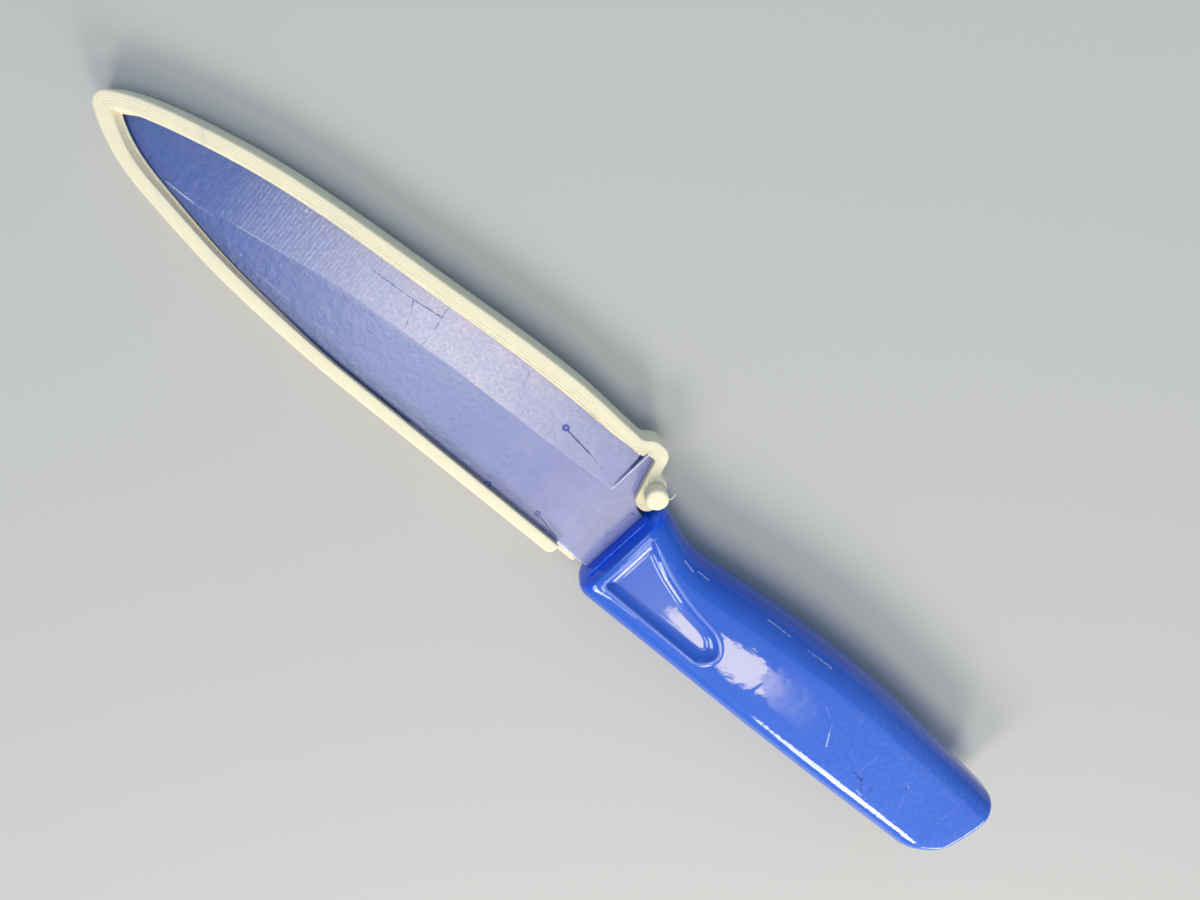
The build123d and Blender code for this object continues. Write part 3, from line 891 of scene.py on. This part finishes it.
def upper_limit(knife, x):
    """Height of the blade's upper side at x: edge, heel, choil and neck, then the tang."""
    edge = long_curve(knife, True, count=1200)
    heel, choil, neck = knife.blade_length - HEEL_BACK, knife.blade_length - 2.4, 4.5
    end = knife.blade_length + NECK_REACH
    path = rounded_path([
        (edge_reach(knife), knife.edge_rise, 0),
        (heel, knife.edge_rise, 0.4),
        (choil, neck, 3.6),
        (end, neck, 0),
    ], 900)
    whole = np.concatenate([edge, path[1:]])
    return np.where(x > end, TANG_HIGH, np.interp(x, *whole.T))


def lower_limit(knife, x):
    """Height of the blade's spine at x, then the tang's low side."""
    spine = long_curve(knife, False, count=1200)
    return np.where(x > knife.blade_length + NECK_REACH, TANG_LOW, np.interp(x, *spine.T))


def edge_distance(knife, x, y):
    """Distance in plan from the cutting edge's line."""
    edge = long_curve(knife, True, count=500)
    beyond = np.linspace((edge[-1, 0], knife.edge_rise), (knife.blade_length + 70, knife.edge_rise), 300)
    edge = np.concatenate([edge, beyond])
    distance = np.empty(x.shape)
    for row in range(len(x)):
        distance[row] = np.hypot(x[row][:, None] - edge[:, 0], y[row][:, None] - edge[:, 1]).min(axis=1)
    return distance


def blade_surface(knife):
    """The blade as sections across it, from its point to the end of its tang.

    Half thickness is land + (full - land) * distance from the edge / grind width, up to the
    full blade's, and past the plunge line it is full everywhere.
    """
    full, land = knife.thickness / 2, 0.1
    plunge = knife.blade_length - 7.7
    heel, neck = knife.blade_length - HEEL_BACK, knife.blade_length + NECK_REACH
    tang, tang_round = knife.blade_length + TANG_REACH, 3.0
    x = np.concatenate([
        [0.0, 0.04, 0.12],
        np.linspace(0.25, 12, 46),
        np.linspace(12.4, plunge - 0.4, 150),
        plunge + np.linspace(-0.3, 0.35, 12),
        np.linspace(plunge + 0.5, heel - 0.42, 8),
        heel + np.linspace(-0.4, 0.6, 24),
        np.linspace(heel + 0.7, neck - 0.02, 60),
        [neck + 0.01],
        np.linspace(neck + 1, tang, 30),
        tang + tang_round * np.sin(np.radians(np.linspace(8, 90, 12))),
    ])
    tail = np.clip((x - tang) / tang_round, 0, 1)
    inset = tang_round * (1 - np.sqrt(1 - tail**2))
    high, low = upper_limit(knife, x) - inset, lower_limit(knife, x) + inset
    share = np.concatenate([np.linspace(0, 0.9, 44), np.linspace(0.915, 1, 12)])
    y = low[:, None] + (high - low)[:, None] * share
    xs = np.broadcast_to(x[:, None], y.shape)
    ground = land + (full - land) * np.clip(edge_distance(knife, xs, y) / knife.grind_width, 0, 1)
    step = np.clip((xs - plunge + 0.15) / 0.3, 0, 1)
    thick = ground + (full - ground) * step * step * (3 - 2 * step)
    # The spine's long corners are eased, and the point is closed.
    ease = 0.12
    thick = np.maximum(thick - ease * np.clip(1 - (y - low[:, None]) / ease, 0, 1) ** 2, 0.02)
    thick[0] = 0.02
    upper = np.stack([xs, y, thick], -1)
    under = np.stack([xs, y, -thick], -1)[:, ::-1]
    return np.concatenate([upper, under], 1)


def coated_steel(knife):
    """Blue non-stick coating: mottled, brushed across the ground band, chipped and scratched, with painted
    sheen, highlights and shade.
    """
    nodes = Nodes("blade_coating_look")
    span, spread, fall, times, plus, mix, noise = nodes.ways()
    flat, x, y, height = nodes.knife_place()
    mottle = noise(260, 5, 0.6)
    cloud = noise(90, 4, 0.6)
    grain = noise(1900, 3, 0.6)
    ripple = noise(750, 3, 0.6)
    # The ground band lies above a line that leans up from the point to the plunge.
    line = plus(
        span(x, 14.0, 38.0, -3.5, 1.0),
        span(x, 38.0, 58.0, 0.0, 1.8),
        span(x, 58.0, 91.0, 0.0, 1.5),
    )
    band = span(nodes.math("SUBTRACT", y, line), -0.12, 0.12, smooth=True)
    band = times(band, fall(x, 91.45, 91.65))
    # Lines of the grinding wheel run across the band and show most behind the point; their paler colour is
    # partly painted glint.
    waver = noise(1.0, 2.0, 0.5, stretch=(0.3, 0.06, 1.0), place=flat)
    patchy = noise(1.0, 4.0, 0.5, stretch=(1.4, 0.9, 1.0), place=flat)
    phase = plus(times(x, 2 * pi / 0.62), times(waver, 10.0))
    wheel_lines_and_glints = times(
        nodes.math("POWER", times(plus(nodes.math("SINE", phase), 1.0), 0.5), 2.0),
        span(patchy, 0.4, 0.62, 0.12, 1.3),
        times(span(x, 16.0, 26.0), fall(x, 34.0, 62.0, 0.25)),
        band,
    )
    deep = brighter(knife.coating, 0.86, 0.9, 0.96)
    colour = mix(spread(cloud), deep, tuple(knife.coating))
    # Paler coating along the ground band: partly worn coating, partly painted sheen.
    worn_and_sheen = times(
        span(x, 18.0, 52.0),
        fall(x, 64.0, 90.0, 0.2),
        span(grain, 0.35, 0.65, 0.75, 1.25),
        span(band, 0.0, 1.0, 0.14, 0.76),
        spread(mottle, 0.6, 1.0),
    )
    colour = mix(worn_and_sheen, colour, (0.63, 0.57, 0.68, 1))
    colour = mix(times(wheel_lines_and_glints, 0.3), colour, (0.40, 0.50, 0.80, 1))
    # Painted sheen: the coating turns paler lavender towards the heel.
    near = times(span(x, 66.0, 97.0, 0.02, 0.27), spread(mottle, 0.8, 1.2))
    colour = mix(near, colour, (0.70, 0.62, 1.0, 1))
    ragged = times(nodes.math("SUBTRACT", grain, 0.5), 0.17)
    top = span(height, -0.05, 0.05)
    pale, dark = (0.80, 0.84, 0.95, 1), (0.012, 0.03, 0.20, 1)
    colour, lost = nodes.wear_and_painted_light(colour, SCRATCHES_AND_PAINTED_LIGHT, flat, top, ragged, 1.0, pale, dark)
    for middle, radius, half_width, darkness in CHIPS:
        mark = times(nodes.ring_mark(flat, middle, radius, half_width, ragged), darkness, top)
        colour = mix(mark, colour, (0.015, 0.05, 0.34, 1))
        lost = nodes.math("MAXIMUM", mark, lost)
    relief = plus(times(wheel_lines_and_glints, 0.8), times(grain, 0.45), times(mottle, 0.8), times(ripple, 5.5))
    rough = plus(spread(mottle, 0.3, 0.4), times(band, 0.06), times(lost, 0.45))
    normal = nodes.bump(relief, 0.35, 0.00003)
    return nodes.finish(Base_Color=colour, Roughness=rough, Normal=normal, IOR=2.0)


class MESH_OT_knife_blade(bpy.types.Operator):
    """Builds the coated blade with its ground band, plunge, heel, choil and tang"""

    bl_idname = "mesh.knife_blade"
    bl_label = "Blade"

    def execute(self, context):
        knife = context.scene.guarded_knife
        blade = lay_mesh("coated_blade", blade_surface(knife), coated_steel(knife), crease=12)
        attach(blade, "knife")
        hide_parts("blade")
        return {"FINISHED"}


def recess_outline(knife):
    """Rim of the thumb recess: a falling upper side, a round end and straight low sides."""
    front, length, low, height = knife.blade_length + 2.2, 24.6, -8.0, 12.4
    upper = [(front + a * length, low + b * height) for a, b in RECESS_SHARES]
    end = [(front + length, low + 0.23 * height), (front + 0.89 * length, low)]
    side = smooth_curve(upper + end, (1, -0.52), (-1, 0), 120)
    corners = [(*end[1], 0), (front, low, 1.1), (*upper[0], 0)]
    return np.concatenate([side, rounded_path(corners, 60)[1:-1]])


def inside_depth(x, y, outline):
    """Distance in from a closed outline, below zero outside it."""
    start, end = outline, np.roll(outline, -1, axis=0)
    side = end - start
    size = np.maximum((side**2).sum(1), 1e-12)
    depth = np.zeros(x.shape)
    for row in range(len(x)):
        px, py = x[row][:, None], y[row][:, None]
        off_x, off_y = px - start[:, 0], py - start[:, 1]
        along = np.clip((off_x * side[:, 0] + off_y * side[:, 1]) / size, 0, 1)
        gap = np.hypot(off_x - along * side[:, 0], off_y - along * side[:, 1]).min(1)
        crosses = (start[:, 1] > py) != (end[:, 1] > py)
        with np.errstate(divide="ignore", invalid="ignore"):
            hit = start[:, 0] + off_y / side[:, 1] * side[:, 0]
        inside = (crosses & (px < hit)).sum(1) % 2 == 1
        depth[row] = np.where(inside, gap, -gap)
    return depth


def handle_surface(knife):
    """The handle as sections across it: crowned faces, round corners, straight sides.

    A face is z = half - crown * ((y - middle) / reach)^2. Its upper side and its half thickness
    follow smooth curves through the stations. Both ends are rounded in plan and at their rims,
    and a recess sinks into each face by a smooth step.
    """
    front, butt = knife.blade_length + 0.3, knife.blade_length + knife.handle_length
    places, rises, halves = np.array(STATIONS).T
    along = knife.blade_length + places * knife.handle_length
    rises = knife.handle_low + rises * knife.handle_swell
    halves = halves * knife.handle_thickness / 2
    high_line = smooth_curve(np.stack([along, rises], 1), (1, 0), (1, -0.12), 900)
    half_line = smooth_curve(np.stack([along, halves], 1), (1, 0.03), (1, -0.12), 900)
    rim_butt = 2.7
    x = np.concatenate([
        front + np.array(FRONT_PLACES),
        np.linspace(front + 1.2, front + 28, 172),
        np.linspace(front + 28.7, butt - 9, 90),
        butt - 9 + np.linspace(0.4, 6.4, 14),
        butt - rim_butt + rim_butt * np.sin(np.radians(np.linspace(0, 90, 12))),
    ])
    x = np.unique(np.round(x, 5))[:, None]
    from_front, from_butt = x - front, butt - x
    low = knife.handle_low + knife.low_rise * (x - knife.blade_length) / knife.handle_length

    def corner(distance, radius):
        """How far a round corner draws a side in, at a distance from the end."""
        reach = np.clip(1 - distance / radius, 0, 1)
        return radius * (1 - np.sqrt(1 - reach**2))

    low = low + corner(from_front, 2.6) + corner(from_butt, 8.5)
    high = np.interp(x, *high_line.T) - corner(from_front, 1.2) - corner(from_butt, 3.0)
    inset = corner(from_front, 0.9) + corner(from_butt, rim_butt)
    low, high = low + inset * 0.6, high - inset * 0.6
    half = np.interp(x, *half_line.T) - corner(from_butt, rim_butt)
    half = half - np.interp(from_front, FRONT_PLACES, FRONT_DROPS)
    crown = 0.8
    middle, reach = (low + high) / 2, (high - low) / 2
    sweep = np.linspace(0, 1, 13)[1:]

    def side_round(side, sign, radius):
        """Where a face ends at its round corner, and that corner's places and heights."""
        radius = np.minimum(radius, half - 1.1)
        lean = np.arctan(2 * crown / reach * (1 - radius / reach))
        start = side - sign * radius * (1 - np.sin(lean))
        top = half - crown * ((start - middle) / reach) ** 2
        angle = lean + (pi / 2 - lean) * sweep
        hub_y, hub_z = side - sign * radius, top - radius * np.cos(lean)
        return start, hub_y + sign * radius * np.sin(angle), hub_z + radius * np.cos(angle)

    start, y_low, z_low = (part[:, ::-1] for part in side_round(low, -1, 4.4))
    end, y_high, z_high = side_round(high, 1, 5.6)
    y_top = start + (end - start) * np.linspace(0, 1, 122)
    z_top = half - crown * ((y_top - middle) / reach) ** 2
    # The recess: a low bead round its rim, a short steep wall and a long soft foot.
    xs = np.broadcast_to(x, y_top.shape)
    depth = inside_depth(xs, y_top, recess_outline(knife))
    wall = np.interp(xs - knife.blade_length, (2.2, 4.6, 26.8), (1.15, 1.85, 2.2))
    inward = np.clip(depth, 0, None)
    inward = np.where(inward < 0.35, inward**2 / 0.7, inward - 0.175)
    sunk = 1.03 * (1 - np.clip(1 - inward / wall, 0, 1) ** 2.2)
    sunk = sunk + 0.22 * (1 - (1 - np.clip(inward - wall + 0.7, 0, 1)) ** 2)
    bead = np.clip(1 - (depth / 0.75) ** 2, 0, 1) ** 2
    z_top = z_top - sunk + 0.07 * bead
    y_upper = np.concatenate([y_low, y_top, y_high], 1)
    z_upper = np.concatenate([z_low, z_top, z_high], 1)
    # The straight far and near sides join the upper face to its mirror below.
    side = np.linspace(1, -1, 6)[1:-1]
    y_far, y_near = np.repeat(high, 4, 1), np.repeat(low, 4, 1)
    y_loop = np.concatenate([y_upper, y_far, y_upper[:, ::-1], y_near], 1)
    z_far, z_near = z_high[:, -1:] * side, -z_low[:, :1] * side
    z_loop = np.concatenate([z_upper, z_far, -z_upper[:, ::-1], z_near], 1)
    outside = np.full(y_low.shape, OUTSIDE)
    inner = np.concatenate([outside, depth, outside], 1)
    inner_loop = np.concatenate([inner, outside[:, :4], inner[:, ::-1], outside[:, :4]], 1)
    xs = np.broadcast_to(x, y_loop.shape)
    return np.stack([xs, y_loop, z_loop], -1), np.stack([xs, inner_loop], -1)


def moulded_plastic(knife):
    """Glossy blue moulded plastic with fine scuffs, duller where hands and drawers rub it, with painted
    highlights, sheen and shade.
    """
    nodes = Nodes("handle_plastic_look")
    span, spread, fall, times, plus, mix, noise = nodes.ways()
    flat, x, y, height = nodes.knife_place()
    cloud = noise(60, 3, 0.5)
    wave = noise(110, 2, 0.4)
    ripple = noise(220, 3, 0.5)
    haze = noise(900, 5, 0.7)
    grain = noise(2600, 3, 0.6)
    light = brighter(knife.moulding, 1.7, 1.25, 0.97)
    colour = mix(spread(cloud, 0.0, 0.5), tuple(knife.moulding), light)
    # The map's second part is the distance in from the recess's rim, below zero outside it.
    _, _, inward = nodes.run_map()
    # Painted sheen: the recess's floor is paler towards its front.
    floor = times(span(inward, 0.7, 1.5), fall(x, 111.0, 126.0, 0.1), span(y, -6.9, -6.1), 0.5)
    colour = mix(floor, colour, (0.2, 0.27, 0.68, 1))
    # Painted highlight: a pale band along the recess's rim.
    painted_rim_highlight = fall(nodes.math("ABSOLUTE", inward), 0.1, 0.5, smooth=True)
    painted_rim_highlight = times(painted_rim_highlight, span(x, 100.0, 127.0, 0.45, 0.25))
    colour = mix(painted_rim_highlight, colour, (0.34, 0.42, 0.84, 1))
    rubbed = times(span(x, 132.0, 160.0), span(height, 3.5, 5.2))
    specks = times(span(haze, 0.5, 0.78, 0.0, 0.2), rubbed)
    colour = mix(plus(specks, times(rubbed, 0.03)), colour, (0.26, 0.40, 0.84, 1))
    # Below the faces the colour is darker and deeper blue: painted shade on the sides, with no rubbed haze.
    below = fall(height, 2.6, 5.2, smooth=True)
    colour = mix(below, colour, brighter(knife.moulding, 0.1, 0.7, 0.85))
    # Painted light: the handle's front face is painted a brighter, more saturated blue.
    front = times(fall(x, 100.4, 101.6), fall(height, 4.6, 5.4))
    colour = mix(front, colour, (0.002, 0.10, 0.86, 1))
    ragged = times(nodes.math("SUBTRACT", haze, 0.5), 0.8)
    top = span(height, 2.0, 2.5)
    pale, dark = (0.66, 0.72, 0.92, 1), (0.003, 0.016, 0.22, 1)
    colour, lost = nodes.wear_and_painted_light(colour, SCUFFS_AND_HIGHLIGHTS, flat, top, ragged, 0.45, pale, dark)
    # A hazed patch behind the thumb recess, its edge running out to a point along the low side.
    torn = times(nodes.math("SUBTRACT", haze, 0.5), 4.0)
    edge = plus(span(y, -4.7, -2.2, 139.0, 133.6), span(y, -2.2, 0.6, 0.0, 1.2))
    hazed = times(
        span(nodes.math("SUBTRACT", plus(x, torn), edge), -0.1, 0.4),
        fall(x, 140.0, 156.0, smooth=True),
        fall(y, 1.0, 4.4, smooth=True),
        span(y, -5.8, -4.7, smooth=True),
    )
    rough = plus(
        spread(cloud, 0.045, 0.07),
        times(specks, 0.4),
        times(rubbed, 0.02),
        times(lost, 0.2),
        times(hazed, 0.14),
    )
    # The recess's floor is smoother than the faces.
    relief = plus(times(grain, 0.2), times(wave, 4.0), times(ripple, 6.5))
    normal = nodes.bump(times(relief, fall(inward, 1.3, 2.1, 0.3)), 0.2, 0.00006)
    return nodes.finish(Base_Color=colour, Roughness=rough, Normal=normal, IOR=1.44)


class MESH_OT_knife_handle(bpy.types.Operator):
    """Builds the moulded handle with its collar and thumb recesses"""

    bl_idname = "mesh.knife_handle"
    bl_label = "Handle"

    def execute(self, context):
        knife = context.scene.guarded_knife
        look = moulded_plastic(knife)
        grid, inner_map = handle_surface(knife)
        handle = lay_mesh("moulded_handle", grid, look, run_map=inner_map, crease=40)
        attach(handle, "knife")
        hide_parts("handle")
        # The collar: a rounded rectangle round the blade, drawn across the knife's length.
        half, low, high, turn = 3.2, -9.6, 5.3, 1.2
        corners = [(-half, low, turn), (half, low, turn), (half, high, turn), (-half, high, turn)]
        outline = rounded_path([(-half, 0, 0), *corners, (-half, 0, 0)], 120)[:-1]
        face = slab_surface(outline, 0.0, 0.5, 0.12)
        grid = np.stack([knife.blade_length + 0.5 - face[..., 2], face[..., 1], face[..., 0]], -1)
        collar = lay_mesh("handle_collar", grid, look, run_map=np.full((*grid.shape[:2], 2), OUTSIDE))
        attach(collar, "knife")
        return {"FINISHED"}


class SCENE_OT_guard_stage(bpy.types.Operator):
    """Sets the pale floor, the soft lamps and the camera at the photograph's angle"""

    bl_idname = "scene.guard_stage"
    bl_label = "Stage"

    def execute(self, context):
        stage = context.scene.guard_stage
        half = stage.floor_width / 2
        mesh = bpy.data.meshes.new("floor")
        # It lies a little under the object, so that the two never share a plane.
        signs = (-1, -1), (1, -1), (1, 1), (-1, 1)
        mesh.from_pydata([(a * half, b * half, -0.00005) for a, b in signs], [], [(0, 1, 2, 3)])
        floor = bpy.data.objects.new("floor", mesh)
        context.collection.objects.link(floor)
        nodes = Nodes("floor_look")
        light = brighter(stage.floor_colour, 1.02, 1.02, 1.02)
        colour = nodes.mix(nodes.spread(nodes.noise(3, 2)), tuple(stage.floor_colour), light)
        mesh.materials.append(nodes.finish(Base_Color=colour, Roughness=0.85))
        world = context.scene.world or bpy.data.worlds.new("sky")
        context.scene.world = world
        world.use_nodes = True
        sky = world.node_tree.nodes["Background"]
        sky.inputs["Color"].default_value = (0.74, 0.87, 1.0, 1)
        sky.inputs["Strength"].default_value = stage.sky
        for name, place, size, colour in LAMPS:
            light = bpy.data.lights.new(name, "AREA")
            light.shape = "ELLIPSE"
            light.size, light.size_y = size
            light.energy = getattr(stage, name + "_power")
            light.color = colour
            lamp = bpy.data.objects.new(name, light)
            lamp.location = place
            x, y, z = place
            lamp.rotation_euler = (0.0, atan2((x * x + y * y) ** 0.5, z), atan2(y, x))
            context.collection.objects.link(lamp)
        camera = bpy.data.cameras.new("camera")
        camera.lens = CAMERA_LENS
        camera.sensor_width = 36
        camera.shift_x = CAMERA_SHIFT
        camera.clip_start = 0.005
        viewer = bpy.data.objects.new("camera", camera)
        viewer.location = [value * MM for value in CAMERA_PLACE]
        viewer.rotation_euler = [radians(value) for value in CAMERA_TURN]
        context.collection.objects.link(viewer)
        context.scene.camera = viewer
        context.scene.view_settings.view_transform = "Standard"
        return {"FINISHED"}


class VIEW3D_PT_blade_guard(bpy.types.Panel):
    bl_label = "Blade Guard"
    bl_idname = "VIEW3D_PT_blade_guard"
    bl_space_type = "VIEW_3D"
    bl_region_type = "UI"
    bl_category = "Blade Guard"

    def draw(self, context):
        for name in GROUPS:
            sizes = getattr(context.scene, name)
            box = self.layout.box()
            for key in sizes.__annotations__:
                box.prop(sizes, key)
        for operator in OPERATORS:
            self.layout.operator(operator.bl_idname)


GROUPS = {"blade_guard": GuardSizes, "guarded_knife": KnifeSizes, "guard_stage": StageSizes}
OPERATORS = (
    MESH_OT_blade_guard,
    MESH_OT_release_post,
    MESH_OT_knife_blade,
    MESH_OT_knife_handle,
    SCENE_OT_guard_stage,
)


def register():
    for name, group in GROUPS.items():
        bpy.utils.register_class(group)
        setattr(bpy.types.Scene, name, bpy.props.PointerProperty(type=group))
    for item in OPERATORS + (VIEW3D_PT_blade_guard,):
        bpy.utils.register_class(item)


def unregister():
    for item in reversed(OPERATORS + (VIEW3D_PT_blade_guard,)):
        bpy.utils.unregister_class(item)
    for name, group in GROUPS.items():
        delattr(bpy.types.Scene, name)
        bpy.utils.unregister_class(group)


def main():
    register()
    bpy.ops.mesh.blade_guard()
    bpy.ops.mesh.release_post()
    bpy.ops.mesh.knife_blade()
    bpy.ops.mesh.knife_handle()
    bpy.ops.scene.guard_stage()


if __name__ == "__main__":
    main()
